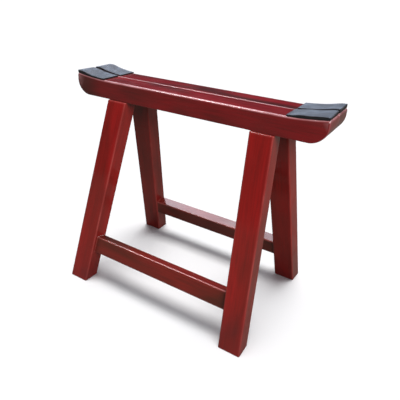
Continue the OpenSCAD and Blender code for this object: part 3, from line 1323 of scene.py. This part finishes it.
@dataclass
class RubberPads:
    """Four studded rubber pads stuck on the rail's upswept ends.

    Args:
        finish: Their rubber.
        rail: The rail that they lie on.
        thickness: Thickness at their inner ends, over the studs.
        swell: How much thicker they get up the rise.
        lip_length: How far in from their outer ends they thin again.
        lip_drop: How much thinner they are there.
        stud_pitch: Distance from stud to stud.
        groove_depth: Depth of the grooves between studs.
        curl_reach: How far in from their outer ends they curl.
        hump_reach: How wide the humps are.
        inner_reach: How far in from their inner ends they lift.
        stud_breaks: Where a stud's sides start and end, as shares of the pitch.
        stud_heights: The height there, from 0 in a groove to 1 on a stud.
        end_trim: How much is trimmed off their outer ends, where the timber's edge shows.
        crease_angle: The least angle between faces that shows as an edge.
    """

    finish: bpy.types.Material
    rail: TopRail
    thickness: float = 3.4 * MM
    swell: float = 3.4 * MM
    lip_length: float = 16 * MM
    lip_drop: float = 1.4 * MM
    stud_pitch: float = 3.6 * MM
    groove_depth: float = 0.8 * MM
    curl_reach: float = 48 * MM
    hump_reach: float = 14 * MM
    inner_reach: float = 20 * MM
    stud_breaks: tuple[float, ...] = (0.14, 0.30, 0.70, 0.86)
    stud_heights: tuple[float, ...] = (0.0, 1.0, 1.0, 0.0)
    end_trim: float = 2 * MM
    crease_angle: float = math.radians(28)

    def __post_init__(self) -> None:
        """Takes the pads' outlines from the frame."""
        low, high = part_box("front_right_pad")
        self.inner_x, self.outer_x = low.x, high.x - self.end_trim
        self.near_y, self.far_y = -high.y, -low.y

    def _lines(self, low: float, high: float) -> list[tuple[float, float]]:
        """Where the studs' edges fall over a length of rubber.

        Args:
            low: Where the rubber starts.
            high: Where it ends.

        Returns:
            Pairs of place and height there, from 0 in a groove to 1 on a stud.
        """
        count = round((high - low) / self.stud_pitch)
        pitch = (high - low) / count
        marks = [
            (low + (n + at - 0.5) * pitch, height)
            for n in range(count + 1)
            for at, height in zip(self.stud_breaks, self.stud_heights)
        ]
        return [(low, 1.0), *(mark for mark in marks if low < mark[0] < high), (high, 1.0)]

    def _rise(self, x: float, y: float, lie: PadLie) -> float:
        """How far the sheet's top rises where it waves and curls.

        Args:
            x: Distance along the rail from the middle.
            y: Distance out from the middle.
            lie: How this pad lies.

        Returns:
            The rise.
        """
        out = smoothstep(1 - (self.outer_x - x) / self.curl_reach)
        far = smoothstep((y - self.near_y) / (self.far_y - self.near_y))
        from_inner = x - self.inner_x
        hump = math.exp(-(((from_inner - lie.hump_at) / self.hump_reach) ** 2))
        inner = smoothstep(1 - from_inner / self.inner_reach)
        curl = lie.near_curl + (lie.far_curl - lie.near_curl) * far
        return curl * out + lie.hump * hump + lie.inner_lift * inner

    def _top(self, x: float, y: float, lie: PadLie) -> float:
        """The height of the pad's top, over its studs.

        Args:
            x: Distance along the rail from the middle.
            y: Distance out from the middle.
            lie: How this pad lies.

        Returns:
            The height above the floor.
        """
        run = self.outer_x - self.inner_x
        climb = smoothstep((x - self.inner_x) / (run - self.lip_length))
        fall = max(0.0, (x - self.outer_x) / self.lip_length + 1)
        body = self.thickness + self.swell * climb - self.lip_drop * fall * fall
        return self.rail.top_at(x) + body + self._rise(x, y, lie)

    def build(self, side: Side, end: End, seed: float) -> bpy.types.Object:
        """Makes one pad.

        Args:
            side: Which side's rail it lies on.
            end: Which end of the rail.
            seed: Where its mottling starts.

        Returns:
            The piece.
        """
        shape = Shape(side, end, seed)
        lie = PAD_LIES[side, end]
        columns = self._lines(self.inner_x, self.outer_x)
        rows = self._lines(self.near_y, self.far_y)
        top: list[Ring] = []
        for x, stud_x in columns:
            ring = []
            for y, stud_y in rows:
                stud = stud_x * stud_y
                z = self._top(x, y, lie) - self.groove_depth * (1 - stud)
                # The cut sides stay black, with neither bloom nor painted sheen.
                cut = x in (self.inner_x, self.outer_x) or y in (self.near_y, self.far_y)
                ring.append(shape.add(Vector((x, y, z)), (x, y, z), 0.0 if cut else stud))
            top.append(ring)
        under = [
            [shape.add(Vector((x, y, self.rail.top_at(x))), (x, y, 0.0)) for y in (self.near_y, self.far_y)]
            for x, _ in columns
        ]
        for first, second in zip(top, top[1:]):
            shape.strip(first, second, closed=False)
        shape.strip([r[0] for r in top], [r[0] for r in under], closed=False)
        shape.strip([r[-1] for r in top], [r[1] for r in under], closed=False)
        shape.strip([r[0] for r in under], [r[1] for r in under], closed=False)
        for column in (0, -1):
            shape.faces.append([*top[column], under[column][1], under[column][0]])
        name = f"{side.word}_{end.word}_pad"
        made = shape.piece(f"{name}_studded", self.finish, Slot.RUBBER, name)
        made.data.set_sharp_from_angle(angle=self.crease_angle)
        return made


# ---- The hinges -----------------------------------------------------------------------------


@dataclass
class Hinges:
    """The two butt hinges under the rail, whose own nodes are kept and dressed.

    Args:
        strip: The finish of the leaves and pins.
        screws: The finish of the screws.
        leaf_ease: Width of the eased edges on a leaf.
        pin_ease: Width of those on a pin.
        screw_ease: Width of those on a screw.
        ease_steps: Faces across an eased edge.
        ease_angle: The least angle between faces that is eased.
        screws_per_leaf: How many screws hold a leaf.
    """

    strip: bpy.types.Material
    screws: bpy.types.Material
    leaf_ease: float = 0.25 * MM
    pin_ease: float = 0.3 * MM
    screw_ease: float = 0.12 * MM
    ease_steps: int = 2
    ease_angle: float = math.radians(40)
    screws_per_leaf: int = 3

    def _dress(self, node: str, material: bpy.types.Material, ease: float) -> None:
        """Gives a node its finish and eases its edges.

        Args:
            node: The node's name.
            material: Its finish.
            ease: The width of its eased edges.
        """
        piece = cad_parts[node]
        piece.data.materials.clear()
        piece.data.materials.append(material)
        eased = piece.modifiers.new("Eased edges", "BEVEL")
        eased.width = ease
        eased.segments = self.ease_steps
        eased.limit_method = "ANGLE"
        eased.angle_limit = self.ease_angle
        eased.use_clamp_overlap = True
        eased.harden_normals = True
        log.info("%s: kept and dressed", node)

    def dress(self) -> None:
        """Dresses every hinge leaf, pin and screw."""
        for end in End:
            self._dress(f"{end.word}_hinge_pin", self.strip, self.pin_ease)
            for side in Side:
                self._dress(f"{side.word}_{end.word}_leaf", self.strip, self.leaf_ease)
                for n in range(1, self.screws_per_leaf + 1):
                    self._dress(f"{side.word}_{end.word}_screw_{n}", self.screws, self.screw_ease)


# ---- The studio -----------------------------------------------------------------------------


@dataclass(frozen=True)
class Lamp:
    """A wide, soft, distant lamp that lights either the stand or the floor.

    Args:
        name: Its name.
        towards: The direction from the stand to the lamp.
        strength: How bright it is.
        spread: How wide it looks from the stand, in degrees.
        colour: Its colour.
        for_floor: Whether it lights the floor, and not the stand.
    """

    name: str
    towards: Rgb
    strength: float
    spread: float
    colour: Rgb = (1.0, 1.0, 1.0)
    for_floor: bool = False

    def build(self, floor: bpy.types.Object, shading: Sequence[bpy.types.Object]) -> None:
        """Makes the lamp, shining from its direction.

        Args:
            floor: The floor.
            shading: The pieces whose shadows a floor lamp shows.
        """
        data = bpy.data.lights.new(self.name, "SUN")
        data.energy = self.strength
        data.angle = math.radians(self.spread)
        data.color = self.colour
        made = bpy.data.objects.new(self.name, data)
        made.rotation_euler = Vector(self.towards).to_track_quat("Z", "Y").to_euler()
        bpy.context.scene.collection.objects.link(made)
        lit = bpy.data.collections.new(f"{self.name} lights")
        lit.objects.link(floor)
        lit.collection_objects[0].light_linking.link_state = "INCLUDE" if self.for_floor else "EXCLUDE"
        made.light_linking.receiver_collection = lit
        if self.for_floor:
            shades = bpy.data.collections.new(f"{self.name} shades")
            for piece in shading:
                shades.objects.link(piece)
            made.light_linking.blocker_collection = shades


@dataclass
class Studio:
    """A pale floor, soft lamps, a plain background and the camera.

    Args:
        floor_half: Half the floor's width.
        floor_white: The floor's colour, seen directly.
        floor_seen_by_lacquer: Its colour in what it lights and in the lacquer's gloss.
        floor_roughness: How rough it is.
        background: How bright the background is.
        low_sky: The sky's colour near the horizon.
        high_sky: Its colour overhead.
        sky_levels: The heights on the sky where the low colour ends and the high one is full.
        lamps: The lamps.
        camera_place: Where the camera stands.
        heading: Which way it looks, clockwise from +Y.
        pitch: How far down it looks.
        roll: How far it is turned about its own line of sight.
        lens_mm: Its focal length.
        sensor_mm: Its sensor's width.
        shift: How far the lens is shifted across and up, in sensor widths.
    """

    floor_half: float = 40.0
    floor_white: Rgb = (0.96, 0.96, 0.96)
    floor_seen_by_lacquer: Rgb = (0.17, 0.14, 0.12)
    floor_roughness: float = 0.9
    background: float = 1.0
    low_sky: Rgb = (0.02, 0.015, 0.025)
    high_sky: Rgb = (0.11, 0.12, 0.15)
    sky_levels: tuple[float, float] = (0.2, 1.0)
    lamps: tuple[Lamp, ...] = (
        Lamp("Floor lamp", towards=(0.0, 0.07, 1.0), strength=2.7, spread=31.0, for_floor=True),
        Lamp("Wide floor lamp", towards=(0.0, 0.0, 1.0), strength=0.5, spread=120.0, for_floor=True),
        Lamp("Back lamp", towards=(-0.46, 0.48, 0.74), strength=1.5, spread=34.0, colour=(1.0, 0.88, 0.98)),
        Lamp("Top lamp", towards=(-0.46, -0.10, 0.88), strength=1.9, spread=16.0, colour=(1.0, 0.97, 0.98)),
        Lamp("Rim lamp", towards=(0.24, 0.82, 0.51), strength=0.7, spread=14.0, colour=(1.0, 0.97, 0.97)),
        Lamp("Front lamp", towards=(0.72, -0.45, 0.58), strength=2.7, spread=40.0, colour=(1.0, 0.97, 0.95)),
    )
    camera_place: Rgb = (0.5370, -0.9236, 0.7985)
    heading: float = math.radians(-32.59)
    pitch: float = math.radians(28.408)
    roll: float = math.radians(2.311)
    lens_mm: float = 38.78
    sensor_mm: float = 36.0
    shift: tuple[float, float] = (0.063, 0.023)

    def _floor(self) -> bpy.types.Object:
        """Lays the floor, which is white to the eye and duller in the lacquer's gloss.

        Returns:
            The floor.
        """
        mesh = bpy.data.meshes.new("floor")
        half = self.floor_half
        corners = [(-half, -half, 0), (half, -half, 0), (half, half, 0), (-half, half, 0)]
        mesh.from_pydata(corners, [], [(0, 1, 2, 3)])
        floor = bpy.data.objects.new("floor", mesh)
        bpy.context.scene.collection.objects.link(floor)
        material, tree, shader = new_material("Pale floor")
        seen = tree.add("LightPath").outputs["Is Camera Ray"]
        tree.join(tree.mix(seen, self.floor_seen_by_lacquer, self.floor_white), shader.inputs["Base Color"])
        shader.inputs["Roughness"].default_value = self.floor_roughness
        shader.inputs["Specular IOR Level"].default_value = 0.0
        mesh.materials.append(material)
        return floor

    def _background(self) -> None:
        """Sets a white background, and a dim soft sky for light and gloss."""
        world = bpy.data.worlds.new("Studio")
        world.use_nodes = True
        bpy.context.scene.world = world
        tree = Tree(world.node_tree)
        shade = world.node_tree.nodes["Background"]
        up = tree.add("SeparateXYZ")
        tree.join(tree.add("TexCoord").outputs["Generated"], up.inputs[0])
        sky = tree.mix(tree.stretch(up.outputs["Z"], *self.sky_levels), self.low_sky, self.high_sky)
        seen = tree.add("LightPath").outputs["Is Camera Ray"]
        tree.join(tree.mix(seen, sky, (self.background,) * 3), shade.inputs["Color"])

    def _camera(self) -> None:
        """Places the camera."""
        a, p = self.heading, self.pitch
        ahead = Vector((math.sin(a) * math.cos(p), math.cos(a) * math.cos(p), -math.sin(p)))
        level = Vector((math.cos(a), -math.sin(a), 0))
        upright = level.cross(ahead)
        right = level * math.cos(self.roll) + upright * math.sin(self.roll)
        up = upright * math.cos(self.roll) - level * math.sin(self.roll)
        data = bpy.data.cameras.new("Camera")
        data.lens = self.lens_mm
        data.sensor_width = self.sensor_mm
        data.shift_x, data.shift_y = self.shift
        camera = bpy.data.objects.new("Camera", data)
        turn = Matrix((right, up, -ahead)).transposed()
        camera.matrix_world = Matrix.Translation(self.camera_place) @ turn.to_4x4()
        bpy.context.scene.collection.objects.link(camera)
        bpy.context.scene.camera = camera

    def build(self, shading: Sequence[bpy.types.Object]) -> None:
        """Sets up the whole studio.

        Args:
            shading: The pieces whose shadows show on the floor.
        """
        bpy.context.scene.view_settings.view_transform = "Standard"
        floor = self._floor()
        self._background()
        for lamp in self.lamps:
            lamp.build(floor, shading)
        self._camera()


# ---- The whole stand ------------------------------------------------------------------------


def main() -> None:
    """Builds the stand piece by piece around the frame, and sets up the studio."""
    logging.basicConfig(level=logging.INFO, format="%(name)s: %(message)s")
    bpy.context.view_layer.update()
    effects = Effects()
    # The rail's pale pink edge colour is a painted highlight along its edges, groove and ends, with some
    # wear; the legs' and stretchers' edges show plain wear.
    rail_lacquer = Lacquer(
        "Rail lacquer", body=(0.310, 0.011, 0.015), deep=(0.165, 0.010, 0.011),
        cloud=(0.055, 0.014, 0.011), rubbed=(0.70, 0.36, 0.38), cloud_share=0.9, wear=0.75,
    ).build(effects)
    leg_lacquer = Lacquer(
        "Leg lacquer", body=(0.370, 0.016, 0.014), deep=(0.215, 0.013, 0.011),
        cloud=(0.080, 0.015, 0.009), rubbed=(0.50, 0.10, 0.09), cloud_share=0.45,
    ).build(effects)
    # The stretchers share the legs' finish; this darker copy of it is painted shade.
    shaded_leg_lacquer = Lacquer(
        "Stretcher lacquer", body=(0.250, 0.020, 0.014), deep=(0.140, 0.017, 0.012),
        cloud=(0.050, 0.020, 0.010), rubbed=(0.50, 0.13, 0.12), cloud_share=0.75,
    ).build(effects)
    rubber = Rubber().build(effects)
    strip = Zinc(
        "Zinc strip", plate=(0.70, 0.71, 0.72), dull=(0.44, 0.44, 0.43),
        draw=(1.0, 14.0, 14.0), roughness=0.30,
    ).build(effects)
    screws = Zinc(
        "Zinc screws", plate=(0.66, 0.66, 0.64), dull=(0.40, 0.40, 0.40),
        draw=(8.0, 8.0, 1.0), roughness=0.34,
    ).build(effects)

    rail_grain = GrainStart(middle=3.8, by_side=0.9)
    stretcher_grain = GrainStart(middle=5.3, by_side=1.1)
    leg_grain = GrainStart(middle=11.9, by_side=2.3, by_end=0.7)
    pad_grain = GrainStart(middle=21.1, by_side=1.3, by_end=0.6)
    rail = TopRail(rail_lacquer)
    pads = RubberPads(rubber, rail)
    low_timbers: list[bpy.types.Object] = []
    for side in Side:
        rail.build(side, rail_grain.at(side))
        legs = LegFrame(side, leg_lacquer, shaded_leg_lacquer, rail.underside, rail.outer_y, rail.half_length)
        low_timbers.append(legs.build_stretcher(stretcher_grain.at(side)))
        for end in End:
            low_timbers.append(legs.build_leg(end, leg_grain.at(side, end)))
            pads.build(side, end, pad_grain.at(side, end))
    Hinges(strip, screws).dress()
    Studio().build(low_timbers)


if __name__ == "__main__":
    main()
